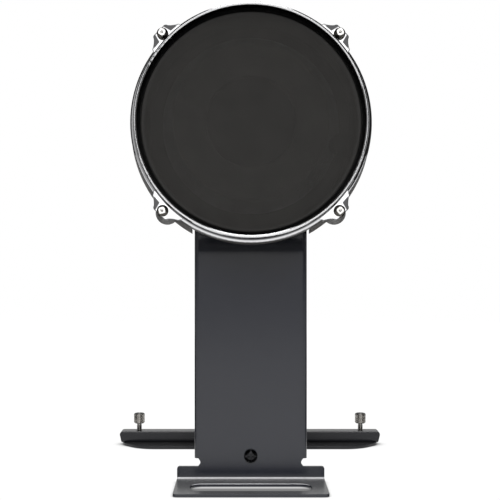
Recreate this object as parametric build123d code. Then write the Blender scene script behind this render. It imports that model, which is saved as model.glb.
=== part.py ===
from build123d import *
import math
import os

# ---------------------------------------------------------------------------
# Kick-drum practice pad on a steel tower.
# +X right, +Y rear (away from the player), +Z up; the floor is Z = 0.
# The origin is on the floor under the centre of the overall bounding box.
# "Depths" below are measured rearwards from the front plane of the hoop.
# Millimetres throughout.
# ---------------------------------------------------------------------------

# overall
DEPTH_TOTAL = 286.0          # hoop front plane to rear edge of the cross bar
Y0 = DEPTH_TOTAL / 2         # depth of the origin
AXIS_Z = 344.3               # height of the drum axis

# sheet metal
T = 3.0                      # steel sheet thickness
BEND_IN = 2.5                # inside bend radius

# tower plate
TOWER_W = 110.0              # width over the side flanges
TOWER_TOP = 414.0
TOWER_D = 77.0               # depth of its front face
FLANGE_D = 15.0              # side flange depth, outside
CORNER_OUT = 4.0             # outside radius of the side bends
RELIEF_LO, RELIEF_HI = 15.0, 22.8   # bend relief slots
RELIEF_IN = 49.3             # how far in the relief slots reach
FOOT_W = 144.0
FOOT_FRONT = 11.5            # depth of the foot's front edge
SLOT_LEN, SLOT_D0, SLOT_D1 = 114.0, 25.1, 54.7
SLOT_R = 11.0
BASE_SCREW_Z = 25.4

# rear base plate and the channel welded on it
BAR_LEN = 301.4
BASE_FRONT_D = 244.5         # front edge of the base plate's cross part
CHAN_D = 268.0               # front face of the channel
CHAN_T = 2.0
CHAN_LO, CHAN_HI = T, 16.0   # the channel stands on the plate
CHAN_R_LO, CHAN_R_HI = 4.0, 1.5   # outside bend radii, lower and upper
CHAN_R_IN = 0.4              # inside radius of the upper bend
ARM_W = 96.0
TAB_TOP = 46.0
SPUR_X = 129.0
SPUR_D = 278.0

# spurs
STUD_R = 3.0
STUD_PITCH = 1.0
SPUR_TIP_Z = 0.6
KNOB_R = 6.2
KNOB_LO, KNOB_HI = 24.3, 35.9
KNURLS = 22

# hoop
RIM_IN = 104.2
RIM_T = 1.7
BEAD_R = 1.45
FLANGE_FACE_D = 20.4         # front face of the hoop's flange and ears
FLANGE_R = 111.8
FLANGE_FALL = 0.24           # the flange falls back this much towards its edge
EAR_R = 120.3
EAR_LIP = 1.3                # thickness of the ears' turned-down edge
ROD_R_POS = 115.4            # radius of the tension rods' circle
ROD_ANGLES = {"upper_right": 45, "upper_left": 135, "lower_left": 225, "lower_right": 315}

# head
MESH_D = 12.5
MESH_T = 0.5
SHELL_R = 101.2              # outside of the shell's bearing tube

# shell
SHOULDER_D = 28.0
BACK_D = 70.0                # inside face of the back wall
SKIRT_END_D = 80.0
SKIRT_R0, SKIRT_R1 = 110.6, 117.0
WALL = 3.0
NOTCH_HALF = 57.0
NOTCH_D = 47.0
BOSS_R0, BOSS_R1 = 6.6, 11.6

# rods
ROD_R = 2.5
ROD_END_D = 62.0
COLLAR_R = 5.3

# sensor
PLATE_D = 50.0               # front face of the sensor plate
PLATE_T = 2.0
PLATE_R = 84.0
POST_R_POS = 78.0
FOAM_RING_IN, FOAM_RING_OUT = 42.0, 72.0
FOAM_CONE_R = 41.0
LEAD_R = 1.25

# jack
JACK_X, JACK_DZ = 84.0, -18.0
JACK_BORE_R = 3.2


# ------------------------------------------------------------------ helpers
def yy(depth):
    return depth - Y0


def ext_y(sk, d0, d1):
    """Extrudes an X-Z sketch between two depths."""
    pl = Plane(origin=(0, yy(d1), 0), x_dir=(1, 0, 0), z_dir=(0, -1, 0))
    return extrude(pl * sk, amount=d1 - d0)


def ext_z(sk, z0, z1):
    return Pos(0, 0, z0) * extrude(sk, amount=z1 - z0)


def cyl_y(x, z, r, d0, d1):
    return Pos(x, yy((d0 + d1) / 2), z) * Rot(90, 0, 0) * Cylinder(r, d1 - d0)


def cone_y(x, z, r0, r1, d0, d1):
    """A cone along Y with radius r0 at depth d0 and r1 at depth d1."""
    face = make_face(Polyline((0, d0), (r0, d0), (r1, d1), (0, d1), close=True))
    return Pos(x, -Y0, z) * revolve(face, Axis.Y)


def cyl_z(x, d, r, z0, z1):
    return Pos(x, yy(d), (z0 + z1) / 2) * Cylinder(r, z1 - z0)


def box(x0, x1, d0, d1, z0, z1):
    return Pos((x0 + x1) / 2, yy((d0 + d1) / 2), (z0 + z1) / 2) * Box(x1 - x0, d1 - d0, z1 - z0)


def rev_y(pts, x=0.0, z=AXIS_Z):
    """Revolves an (r, depth) outline about a Y axis."""
    face = make_face(Polyline(*pts, close=True))
    return Pos(x, -Y0, z) * revolve(face, Axis.Y)


def rev_face_y(face, x=0.0, z=AXIS_Z):
    return Pos(x, -Y0, z) * revolve(face, Axis.Y)


def polar(angle_deg, r):
    a = math.radians(angle_deg)
    return r * math.cos(a), AXIS_Z + r * math.sin(a)


def threaded(r, pitch, z0, z1, depth=0.55):
    """Outline points of a ribbed (thread-like) shank side, from z0 up to z1."""
    pts, z = [], z0
    n = int((z1 - z0) / pitch)
    for i in range(n):
        z = z0 + i * pitch
        pts += [(r - depth, z + 0.12 * pitch), (r, z + 0.42 * pitch), (r, z + 0.58 * pitch), (r - depth, z + 0.88 * pitch)]
    return pts


def cross_recess(x, z, d_face, size, width, deep, toward=1):
    """The cutter of a cross recess in a head whose top is at depth d_face."""
    d0, d1 = (d_face - 0.5, d_face + deep) if toward > 0 else (d_face - deep, d_face + 0.5)
    a = box(x - size / 2, x + size / 2, d0, d1, z - width / 2, z + width / 2)
    b = box(x - width / 2, x + width / 2, d0, d1, z - size / 2, z + size / 2)
    return a + b


def one(shape):
    """The shape as a single solid when it holds just one."""
    s = shape.solids()
    return s[0] if len(s) == 1 else Compound(children=list(s))


parts = {}

# ---------------------------------------------------------------- tower plate
def tower_plate():
    half = TOWER_W / 2
    r_out, r_in = CORNER_OUT, CORNER_OUT - T
    # channel in plan: web to the front, side flanges to the rear
    outer = Rectangle(TOWER_W, FLANGE_D + 20)
    outer = fillet(outer.vertices().sort_by(Axis.Y)[:2], r_out)
    inner = Rectangle(TOWER_W - 2 * T, FLANGE_D + 20 - 2 * T)
    inner = fillet(inner.vertices().sort_by(Axis.Y)[:2], r_in)
    ring = Pos(0, yy(TOWER_D) + (FLANGE_D + 20) / 2) * (outer - inner)
    keep = Pos(0, yy(TOWER_D) + FLANGE_D / 2) * Rectangle(TOWER_W + 4, FLANGE_D)
    channel = ext_z(ring & keep, RELIEF_HI, TOWER_TOP)
    # the flanges' top ends are cut back on a slope and the web's top corners rounded
    for s in (-1, 1):
        tri = make_face(Polyline((yy(TOWER_D + T + 1.5), TOWER_TOP + 1), (yy(TOWER_D + FLANGE_D + 1), TOWER_TOP + 1),
                                 (yy(TOWER_D + FLANGE_D + 1), TOWER_TOP - 16), close=True))
        pl = Plane(origin=(s * (half - 5), 0, 0), x_dir=(0, 1, 0), z_dir=(1, 0, 0))
        channel -= extrude(pl * tri, amount=10, both=True)
    # lower web with its relief slots
    sk = Pos(0, (RELIEF_HI + 5.5) / 2 + 2) * Rectangle(2 * (half - r_out), RELIEF_HI + 1 - 5.5 + 4)
    low = Pos(0, (RELIEF_LO + 5.5) / 2) * Rectangle(FOOT_W, RELIEF_LO - 5.5)
    low = fillet(low.vertices().sort_by(Axis.Y)[-2:], 2.6)
    web = sk + low
    rr = (RELIEF_HI - RELIEF_LO) / 2
    for s in (-1, 1):
        cx = s * (RELIEF_IN + rr)
        cut = Pos(cx, RELIEF_LO + rr) * Circle(rr) + Pos(cx + s * 10, RELIEF_LO + rr) * Rectangle(20, 2 * rr)
        web -= cut
    body = channel + ext_y(web, TOWER_D, TOWER_D + T)
    # bend from the web to the foot, full foot width
    ro = BEND_IN + T
    yb, zb = yy(TOWER_D - BEND_IN), ro
    sec = Pos(yb, zb) * (Circle(ro) - Circle(BEND_IN))
    sec = sec & (Pos(yb + 25, zb - 25) * Rectangle(50, 50))
    pl = Plane(origin=(-FOOT_W / 2, 0, 0), x_dir=(0, 1, 0), z_dir=(1, 0, 0))
    body += extrude(pl * sec, amount=FOOT_W)
    # foot
    d1 = TOWER_D - BEND_IN
    foot = Pos(0, yy((FOOT_FRONT + d1) / 2)) * Rectangle(FOOT_W, d1 - FOOT_FRONT)
    foot = fillet(foot.vertices().sort_by(Axis.Y)[:2], 3.5)
    slot = Pos(0, yy((SLOT_D0 + SLOT_D1) / 2)) * RectangleRounded(SLOT_LEN, SLOT_D1 - SLOT_D0, SLOT_R)
    foot = ext_z(foot - slot, 0, T)
    # the slot's upper edge is eased
    d_mid = yy((SLOT_D0 + SLOT_D1) / 2)
    rim = [e for e in foot.edges().filter_by_position(Axis.Z, T - 0.01, T + 0.01)
           if abs(e.center().X) < SLOT_LEN / 2 + 0.1 and abs(e.center().Y - d_mid) < (SLOT_D1 - SLOT_D0) / 2 + 0.1]
    foot = fillet(rim, 0.9)
    body += foot
    # screw holes
    body -= cyl_y(0, BASE_SCREW_Z, 3.3, TOWER_D - 1, TOWER_D + T + 1)
    for x, z in TOWER_SCREWS:
        body -= cyl_y(x, z, 2.8, TOWER_D - 1, TOWER_D + T + 1)
    return body


TOWER_SCREWS = [(sx * 36.0, AXIS_Z + sz * 45.0) for sx in (-1, 1) for sz in (-1, 1)]
parts["tower_plate"] = tower_plate()


# ---------------------------------------------------------------- rear base
def rear_base():
    half = BAR_LEN / 2 - 2.4
    ri, ro = 2.0, 2.0 + T
    # cross part: chamfered and rounded front corners
    cx, cy = 125.0, yy(BASE_FRONT_D)
    ex, ey = half, yy(CHAN_D + 2.5)
    yr = yy(DEPTH_TOTAL)
    plan = make_face(Polyline((-half, yr), (-ex, ey), (-cx, cy), (cx, cy), (ex, ey), (half, yr), close=True))
    vs = plan.vertices()
    plan = fillet([v for v in vs if abs(abs(v.X) - ex) < 0.01 and abs(v.Y - ey) < 0.01], 20.0)
    plan = fillet([v for v in plan.vertices() if abs(abs(v.X) - cx) < 0.01 and abs(v.Y - cy) < 0.01], 36.0)
    body = ext_z(plan, 0, T)
    # arm and upturned tab
    tab_d = TOWER_D + T
    ty = yy(tab_d)
    ye = yy(BASE_FRONT_D + 6)
    sec = make_face([
        Line((ty, TAB_TOP), (ty, ro)),
        RadiusArc((ty, ro), (ty + ro, 0), -ro),
        Line((ty + ro, 0), (ye, 0)),
        Line((ye, 0), (ye, T)),
        Line((ye, T), (ty + ro, T)),
        RadiusArc((ty + ro, T), (ty + T, ro), ri),
        Line((ty + T, ro), (ty + T, TAB_TOP)),
        Line((ty + T, TAB_TOP), (ty, TAB_TOP)),
    ])
    pl = Plane(origin=(-ARM_W / 2, 0, 0), x_dir=(0, 1, 0), z_dir=(1, 0, 0))
    arm = extrude(pl * sec, amount=ARM_W)
    mask = Pos(0, TAB_TOP / 2 - 5) * Rectangle(ARM_W, TAB_TOP + 10)
    mask = fillet(mask.vertices().sort_by(Axis.Y)[-2:], 9.0)
    arm = arm & ext_y(mask, tab_d - 5, CHAN_D)
    body = body + arm
    # rounded roots where the arm runs into the cross part
    for s in (-1, 1):
        x0 = s * ARM_W / 2
        g = Polyline((x0 - s, yy(BASE_FRONT_D - 16)), (x0 - s, yy(BASE_FRONT_D + 1)), (x0 + s * 16, yy(BASE_FRONT_D + 1)), (x0 + s * 16, yy(BASE_FRONT_D - 16)), close=True)
        tri = make_face(g) - Pos(x0 + s * 16, yy(BASE_FRONT_D - 16)) * Circle(16)
        body += ext_z(tri, 0, T)
    # holes
    body -= cyl_y(0, BASE_SCREW_Z, 3.3, tab_d - 1, tab_d + T + 1)
    for s in (-1, 1):
        body -= cyl_z(s * SPUR_X, SPUR_D, 3.7, -1, T + 1)
    return body


def rear_channel():
    half = BAR_LEN / 2
    y0, y1 = yy(CHAN_D), yy(DEPTH_TOTAL)
    h = CHAN_HI - CHAN_LO
    w = y1 - y0 + 12
    outer = Pos(y0 + w / 2, CHAN_LO + h / 2) * Rectangle(w, h)
    vs = outer.vertices().sort_by(Axis.X)[:2].sort_by(Axis.Y)
    lo, hi = vs[0], vs[1]
    outer = fillet([lo], CHAN_R_LO)
    hi = outer.vertices().filter_by_position(Axis.X, y0 - 0.01, y0 + 0.01).sort_by(Axis.Y)[-1]
    outer = fillet([hi], CHAN_R_HI)
    inner = Pos(y0 + CHAN_T + w / 2, CHAN_LO + h / 2) * Rectangle(w, h - 2 * CHAN_T)
    vs = inner.vertices().sort_by(Axis.X)[:2].sort_by(Axis.Y)
    inner = fillet([vs[0]], CHAN_R_LO - CHAN_T)
    hi = inner.vertices().filter_by_position(Axis.X, y0 + CHAN_T - 0.01, y0 + CHAN_T + 0.01).sort_by(Axis.Y)[-1]
    inner = fillet([hi], CHAN_R_IN)
    sec = (outer - inner) & (Pos(y0 + (y1 - y0) / 2, 10) * Rectangle(y1 - y0, 60))
    pl = Plane(origin=(-half - 1, 0, 0), x_dir=(0, 1, 0), z_dir=(1, 0, 0))
    body = extrude(pl * sec, amount=BAR_LEN + 2)
    # ends: slightly narrower at the foot, rounded top corners
    elev = make_face(Polyline((-half + 2.2, CHAN_LO - 1), (-half, CHAN_HI - 4), (-half, CHAN_HI), (half, CHAN_HI), (half, CHAN_HI - 4), (half - 2.2, CHAN_LO - 1), close=True))
    elev = fillet([v for v in elev.vertices() if abs(v.Y - CHAN_HI) < 0.01], 3.4)
    body = body & ext_y(elev, CHAN_D - 2, DEPTH_TOTAL + 2)
    # rounded rear corners of both flanges
    plan = Pos(0, (yy(CHAN_D - 2) + y1) / 2) * Rectangle(BAR_LEN + 4, y1 - yy(CHAN_D - 2))
    plan = fillet(plan.vertices().sort_by(Axis.Y)[-2:], 7.0)
    body = body & ext_z(plan, 0, 30)
    for s in (-1, 1):
        body -= cyl_z(s * SPUR_X, SPUR_D, 3.4, CHAN_HI - CHAN_T - 1, CHAN_HI + 1)
        body -= cyl_z(s * SPUR_X, SPUR_D, 3.7, CHAN_LO - 1, CHAN_LO + CHAN_T + 1)
    return body


parts["rear_base"] = rear_base()
parts["rear_channel"] = rear_channel()


# ---------------------------------------------------------------- base screw
def pan_screw(x, z, d_face, r_head, h_head, r_shank, length, toward=1, recess=4.6, slot=1.1):
    """A pan head screw along Y. toward=+1: the shank runs to the rear, the head sits in front of d_face."""
    s = toward
    dome = 0.55 * h_head
    f = make_face([
        Line((0, -s * h_head), (r_head * 0.45, -s * h_head * 0.985)),
        ThreePointArc((r_head * 0.45, -s * h_head * 0.985), (r_head * 0.86, -s * h_head * 0.76), (r_head, -s * (h_head - dome) * 0.7)),
        Line((r_head, -s * (h_head - dome) * 0.7), (r_head, 0)),
        Line((r_head, 0), (r_shank, 0)),
        Line((r_shank, 0), (r_shank, s * (length - 0.8))),
        Line((r_shank, s * (length - 0.8)), (r_shank - 0.6, s * length)),
        Line((r_shank - 0.6, s * length), (0, s * length)),
        Line((0, s * length), (0, -s * h_head)),
    ])
    body = Pos(x, yy(d_face), z) * revolve(f, Axis.Y)
    body -= cross_recess(x, z, d_face - s * h_head, recess, slot, 0.55 * h_head, s)
    return body


parts["base_screw"] = pan_screw(0, BASE_SCREW_Z, TOWER_D, 6.6, 5.2, 3.0, 15.0, 1, 6.6, 1.5)
parts["base_washer"] = rev_y([(3.2, 83.0), (6.0, 83.0), (6.0, 84.4), (3.2, 84.4)], 0, BASE_SCREW_Z)
nut = ext_y(Pos(0, BASE_SCREW_Z) * RegularPolygon(10.0 / 2 / math.cos(math.pi / 6), 6), 84.4, 89.4)
parts["base_nut"] = nut - cyl_y(0, BASE_SCREW_Z, 3.02, 84, 90)


# ---------------------------------------------------------------- spurs
def spur_nut(s):
    n = ext_z(Pos(s * SPUR_X, yy(SPUR_D)) * RegularPolygon(10.0 / 2 / math.cos(math.pi / 6), 6), CHAN_HI - CHAN_T - 5.0, CHAN_HI - CHAN_T)
    return n - cyl_z(s * SPUR_X, SPUR_D, STUD_R + 0.05, 7, 15)


parts["spur_weld_nuts"] = Compound(children=[one(spur_nut(-1)), one(spur_nut(1))])


def spur_stud(s):
    pts = [(0, SPUR_TIP_Z), (1.9, SPUR_TIP_Z + 3.0), (STUD_R - 0.55, SPUR_TIP_Z + 3.0)]
    pts += threaded(STUD_R, STUD_PITCH, SPUR_TIP_Z + 3.0, 23.4)
    pts += [(STUD_R - 0.55, 23.5), (STUD_R - 0.55, KNOB_LO - 0.1), (2.5, KNOB_LO - 0.1), (2.5, KNOB_HI - 3.0), (0, KNOB_HI - 3.0)]
    f = make_face(Polyline(*pts, close=True))
    f = Plane.XZ * f
    return Pos(s * SPUR_X, yy(SPUR_D), 0) * revolve(f, Axis.Z)


def spur_knob(s):
    pts = []
    n = KNURLS
    for i in range(n):
        a0 = 2 * math.pi * i / n
        for da, r in ((-0.30, KNOB_R), (0.30, KNOB_R), (0.5, KNOB_R - 0.55)):
            a = a0 + da * 2 * math.pi / n
            pts.append((r * math.cos(a), r * math.sin(a)))
    star = make_face(Polyline(*pts, close=True))
    body = ext_z(star, KNOB_LO, KNOB_HI)
    rr = KNOB_R + 0.05
    prof = Plane.XZ * make_face(Polyline(
        (0, KNOB_LO), (rr - 1.1, KNOB_LO), (rr, KNOB_LO + 1.1), (rr, KNOB_HI - 1.0), (rr - 1.0, KNOB_HI), (0, KNOB_HI), close=True))
    body = body & revolve(prof, Axis.Z)
    top = Plane.XZ * make_face(Polyline((0, KNOB_HI - 0.5), (KNOB_R - 2.4, KNOB_HI - 0.5), (KNOB_R - 1.9, KNOB_HI + 1), (0, KNOB_HI + 1), close=True))
    body -= revolve(top, Axis.Z)
    body -= Pos(0, 0, (KNOB_LO - 1 + KNOB_HI - 2.9) / 2) * Cylinder(2.55, KNOB_HI - 2.9 - (KNOB_LO - 1))
    return Pos(s * SPUR_X, yy(SPUR_D), 0) * body


parts["spur_stud_left"] = spur_stud(-1)
parts["spur_stud_right"] = spur_stud(1)
parts["spur_knob_left"] = spur_knob(-1)
parts["spur_knob_right"] = spur_knob(1)


# ---------------------------------------------------------------- drum shell
def drum_shell():
    ri = SHELL_R - WALL
    f = make_face([
        Line((0, BACK_D), (ri - 2, BACK_D)),
        RadiusArc((ri - 2, BACK_D), (ri, BACK_D - 2), -2.0),
        Line((ri, BACK_D - 2), (ri, 14.8)),
        Line((ri, 14.8), (ri + 0.9, MESH_D + MESH_T + 0.15)),
        Line((ri + 0.9, MESH_D + MESH_T + 0.15), (ri + 1.6, MESH_D + MESH_T + 0.15)),
        RadiusArc((ri + 1.6, MESH_D + MESH_T + 0.15), (SHELL_R, MESH_D + MESH_T + 1.55), 1.4),
        Line((SHELL_R, MESH_D + MESH_T + 1.55), (SHELL_R, SHOULDER_D)),
        Line((SHELL_R, SHOULDER_D), (SKIRT_R0 - 2.5, SHOULDER_D)),
        RadiusArc((SKIRT_R0 - 2.5, SHOULDER_D), (SKIRT_R0, SHOULDER_D + 2.5), 2.5),
        Line((SKIRT_R0, SHOULDER_D + 2.5), (SKIRT_R1, SKIRT_END_D)),
        Line((SKIRT_R1, SKIRT_END_D), (SKIRT_R1 - WALL, SKIRT_END_D)),
        Line((SKIRT_R1 - WALL, SKIRT_END_D), (SKIRT_R0 - WALL + 0.3, SHOULDER_D + WALL)),
        Line((SKIRT_R0 - WALL + 0.3, SHOULDER_D + WALL), (SHELL_R, SHOULDER_D + WALL)),
        Line((SHELL_R, SHOULDER_D + WALL), (SHELL_R, BACK_D + WALL)),
        Line((SHELL_R, BACK_D + WALL), (0, BACK_D + WALL)),
        Line((0, BACK_D + WALL), (0, BACK_D)),
    ])
    body = rev_face_y(f)
    # ribs between the tub and the skirt
    for k in range(12):
        a = k * 30 + 15
        rib = Pos((SHELL_R + 110.0) / 2 - 0.4, yy((SHOULDER_D + WALL + 64.0) / 2), 0) * Box(110.0 - SHELL_R + 1.0, 64.0 - SHOULDER_D - WALL + 1, 2.2)
        body += Pos(0, 0, AXIS_Z) * Rot(0, -a, 0) * rib
    # clearance notch for the tower at the bottom of the skirt
    body -= box(-NOTCH_HALF, NOTCH_HALF, NOTCH_D, SKIRT_END_D + 5, AXIS_Z - 130, AXIS_Z - SHELL_R * 0.72) & (
        rev_y([(SHELL_R + 0.02, NOTCH_D), (130, NOTCH_D), (130, SKIRT_END_D + 5), (SHELL_R + 0.02, SKIRT_END_D + 5)]))
    # lug bosses
    for a in ROD_ANGLES.values():
        x, z = polar(a, ROD_R_POS)
        body += cone_y(x, z, BOSS_R0, BOSS_R1, SHOULDER_D + 1, SKIRT_END_D)
    for a in ROD_ANGLES.values():
        x, z = polar(a, ROD_R_POS)
        body -= cyl_y(x, z, 4.02, SHOULDER_D, 50.0)
        body -= cyl_y(x, z, 3.0, 49.0, ROD_END_D + 8)
    # bosses for the tower screws
    for x, z in TOWER_SCREWS:
        body += cyl_y(x, z, 7.0, 62.0, TOWER_D)
    for x, z in TOWER_SCREWS:
        body -= cyl_y(x, z, 4.02, 64.0, TOWER_D + 1)
    # posts of the sensor plate
    for a in (45, 135, 225, 315):
        x, z = polar(a, POST_R_POS)
        body += cyl_y(x, z, 4.5, PLATE_D + PLATE_T, BACK_D + 0.5)
        body -= cyl_y(x, z, 1.72, PLATE_D + PLATE_T - 1, BACK_D - 3)
    # jack hole
    body -= cyl_y(JACK_X, AXIS_Z + JACK_DZ, 4.9, BACK_D - 1, BACK_D + WALL + 1)
    return body


parts["drum_shell"] = drum_shell()


def lug_insert(a):
    x, z = polar(a, ROD_R_POS)
    return rev_y([(ROD_R + 0.05, 29.5), (3.6, 29.5), (4.0, 30.2), (4.0, 49.0), (ROD_R + 0.05, 49.0)], x, z)


parts["lug_inserts"] = Compound(children=[one(lug_insert(a)) for a in ROD_ANGLES.values()])


# ---------------------------------------------------------------- tension rods
def tension_rod(a, turn):
    x, z = polar(a, ROD_R_POS)
    d_c = FLANGE_FACE_D - 2.1            # rear face of the collar
    f = make_face([
        Line((0, d_c - 3.0), (3.5, d_c - 3.0)),
        ThreePointArc((3.5, d_c - 3.0), (4.75, d_c - 2.2), (COLLAR_R, d_c - 0.8)),
        Line((COLLAR_R, d_c - 0.8), (COLLAR_R, d_c)),
        Line((COLLAR_R, d_c), (ROD_R, d_c)),
        Line((ROD_R, d_c), (ROD_R, ROD_END_D - 1)),
        Line((ROD_R, ROD_END_D - 1), (ROD_R - 0.8, ROD_END_D)),
        Line((ROD_R - 0.8, ROD_END_D), (0, ROD_END_D)),
        Line((0, ROD_END_D), (0, d_c - 3.0)),
    ])
    body = rev_face_y(f, 0, 0)
    sq = RectangleRounded(6.0, 6.0, 0.9)
    head = ext_y(Rot(0, 0, turn) * sq, d_c - 8.0, d_c - 2.0)
    head = head & rev_y([(0, d_c - 8.0), (3.3, d_c - 8.0), (4.4, d_c - 7.0), (4.4, d_c - 1.5), (0, d_c - 1.5)], 0, 0)
    body += head
    # shallow round dimple in the end of the square
    body -= rev_y([(0, d_c - 9), (1.3, d_c - 9), (1.3, d_c - 6.9), (0, d_c - 6.3)], 0, 0)
    return Pos(x, 0, z) * body


for name, a in ROD_ANGLES.items():
    turn = {"upper_right": 20, "upper_left": 62, "lower_left": 12, "lower_right": 40}[name]
    parts["tension_rod_" + name] = tension_rod(a, turn)


def washer_at(a, r, d0, d1):
    x, z = polar(a, ROD_R_POS)
    return rev_y([(ROD_R + 0.25, d0), (r, d0), (r, d1), (ROD_R + 0.25, d1)], x, z)


parts["rod_washers"] = Compound(children=[one(washer_at(a, 5.1, FLANGE_FACE_D - 2.05, FLANGE_FACE_D - 1.05)) for a in ROD_ANGLES.values()])
parts["rod_nylon_washers"] = Compound(children=[one(washer_at(a, 5.4, FLANGE_FACE_D - 1.05, FLANGE_FACE_D)) for a in ROD_ANGLES.values()])


# ---------------------------------------------------------------- hoop
def ear_outline(grow=0.0):
    """An ear in (radial, tangential) coordinates. It starts well inside the flange."""
    g = grow
    e = EAR_R + g
    return make_face([
        Line((107.5, -(19.0 + g)), (112.0 + g, -(16.9 + g))),
        ThreePointArc((112.0 + g, -(16.9 + g)), (114.9 + g, -(12.1 + g)), (118.0 + g, -(9.0 + g))),
        ThreePointArc((118.0 + g, -(9.0 + g)), (119.7 + g, -(7.9 + g * 0.8)), (e, -(6.0 + g * 0.6))),
        Line((e, -(6.0 + g * 0.6)), (e, 6.0 + g * 0.6)),
        ThreePointArc((e, 6.0 + g * 0.6), (119.7 + g, 7.9 + g * 0.8), (118.0 + g, 9.0 + g)),
        ThreePointArc((118.0 + g, 9.0 + g), (114.9 + g, 12.1 + g), (112.0 + g, 16.9 + g)),
        Line((112.0 + g, 16.9 + g), (107.5, 19.0 + g)),
        Line((107.5, 19.0 + g), (107.5, -(19.0 + g))),
    ])


def rim_hoop():
    w_in, w_out = RIM_IN, RIM_IN + RIM_T
    s_in, s_out = RIM_IN + RIM_T, RIM_IN + 2 * RIM_T
    fd = FLANGE_FACE_D
    st = 15.2                               # front face of the step
    f = make_face([
        ThreePointArc((w_in, BEAD_R), (w_in + BEAD_R, 0), (w_in + 2 * BEAD_R, BEAD_R)),
        ThreePointArc((w_in + 2 * BEAD_R, BEAD_R), (w_in + BEAD_R + 1.03, BEAD_R + 1.02), (w_out, BEAD_R + 1.45)),
        Line((w_out, BEAD_R + 1.45), (w_out, st - 1.0)),
        RadiusArc((w_out, st - 1.0), (w_out + 0.6, st - 0.3), 0.9),
        ThreePointArc((w_out + 0.6, st - 0.3), (s_out - 0.35, st + 0.25), (s_out, st + 1.2)),
        Line((s_out, st + 1.2), (s_out, fd - 1.2)),
        ThreePointArc((s_out, fd - 1.2), (s_out + 0.35, fd - 0.35), (s_out + 1.2, fd)),
        Line((s_out + 1.2, fd), (FLANGE_R - 1.5, fd + FLANGE_FALL)),
        ThreePointArc((FLANGE_R - 1.5, fd + FLANGE_FALL), (FLANGE_R - 0.42, fd + FLANGE_FALL + 0.52), (FLANGE_R, fd + FLANGE_FALL + 1.7)),
        Line((FLANGE_R, fd + FLANGE_FALL + 1.7), (FLANGE_R, fd + 3.4)),
        Line((FLANGE_R, fd + 3.4), (FLANGE_R - RIM_T, fd + 3.4)),
        Line((FLANGE_R - RIM_T, fd + 3.4), (FLANGE_R - RIM_T, fd + RIM_T)),
        Line((FLANGE_R - RIM_T, fd + RIM_T), (s_in, fd + RIM_T)),
        Line((s_in, fd + RIM_T), (s_in, st + RIM_T)),
        Line((s_in, st + RIM_T), (w_in, st + RIM_T)),
        Line((w_in, st + RIM_T), (w_in, BEAD_R)),
    ])
    body = rev_face_y(f)
    full = ear_outline()
    hollow = ear_outline(-EAR_LIP)
    for a in ROD_ANGLES.values():
        blk = ext_y(full, fd, fd + 5.4)
        edges = [e for e in blk.edges().filter_by_position(Axis.Y, yy(fd) - 0.01, yy(fd) + 0.01)
                 if e.center().X > 112.5]
        try:
            blk = fillet(edges, 1.5)
        except Exception:
            pass
        pocket = ext_y(hollow, fd + RIM_T, fd + 8.0)
        blk = blk - pocket
        # the flange's own turned-down edge ends at the ear
        ear = Pos(0, 0, AXIS_Z) * Rot(0, -a, 0) * blk
        gap = Pos(0, 0, AXIS_Z) * Rot(0, -a, 0) * ext_y(hollow, fd + RIM_T, fd + 8.0)
        body = body - gap
        body = body + (ear - rev_y([(0, fd - 5), (s_in + 0.5, fd - 5), (s_in + 0.5, fd + 12), (0, fd + 12)]))
    for a in ROD_ANGLES.values():
        x, z = polar(a, ROD_R_POS)
        body -= cyl_y(x, z, 2.95, fd - 1, fd + 8)
    return body


parts["rim_hoop"] = rim_hoop()

# ---------------------------------------------------------------- head
h_in, h_out = 102.1, RIM_IN + RIM_T - 0.3
parts["flesh_hoop"] = rev_y([(h_in, 17.0), (h_out, 17.0), (h_out, 25.2), (h_in, 25.2)])


def mesh_head():
    co, ci = h_in - 0.1, h_in - 0.6
    f = make_face([
        Line((0, MESH_D), (co - 2.0, MESH_D)),
        RadiusArc((co - 2.0, MESH_D), (co, MESH_D + 2.0), 2.0),
        Line((co, MESH_D + 2.0), (co, 25.0)),
        Line((co, 25.0), (ci, 25.0)),
        Line((ci, 25.0), (ci, MESH_D + 2.0)),
        RadiusArc((ci, MESH_D + 2.0), (co - 2.0, MESH_D + MESH_T), -1.5),
        Line((co - 2.0, MESH_D + MESH_T), (0, MESH_D + MESH_T)),
        Line((0, MESH_D + MESH_T), (0, MESH_D)),
    ])
    return rev_face_y(f)


parts["mesh_head"] = mesh_head()

# ---------------------------------------------------------------- foam and sensor
parts["foam_ring"] = rev_y([(FOAM_RING_IN, 14.0), (FOAM_RING_OUT, 14.0), (FOAM_RING_OUT, PLATE_D), (FOAM_RING_IN, PLATE_D)])
parts["foam_cone"] = rev_y([(0, 13.8), (FOAM_CONE_R, 13.8), (FOAM_CONE_R, 30.0), (15.0, 47.2), (0, 47.2)])
parts["piezo_ceramic"] = rev_y([(0, 47.2), (12.5, 47.2), (12.5, 47.5), (0, 47.5)])
parts["piezo_disc"] = rev_y([(0, 47.5), (17.5, 47.5), (17.5, 47.9), (0, 47.9)])
parts["piezo_tape"] = rev_y([(0, 47.9), (17.0, 47.9), (17.0, PLATE_D), (0, PLATE_D)])


def sensor_plate():
    body = rev_y([(0, PLATE_D), (PLATE_R, PLATE_D), (PLATE_R, PLATE_D + PLATE_T), (0, PLATE_D + PLATE_T)])
    body -= cyl_y(JACK_X, AXIS_Z + JACK_DZ, 10.0, PLATE_D - 1, PLATE_D + PLATE_T + 1)
    body -= cyl_y(28.0, AXIS_Z, 4.0, PLATE_D - 1, PLATE_D + PLATE_T + 1)
    for a in (45, 135, 225, 315):
        x, z = polar(a, POST_R_POS)
        body -= cyl_y(x, z, 2.2, PLATE_D - 1, PLATE_D + PLATE_T + 1)
    return body


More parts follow.
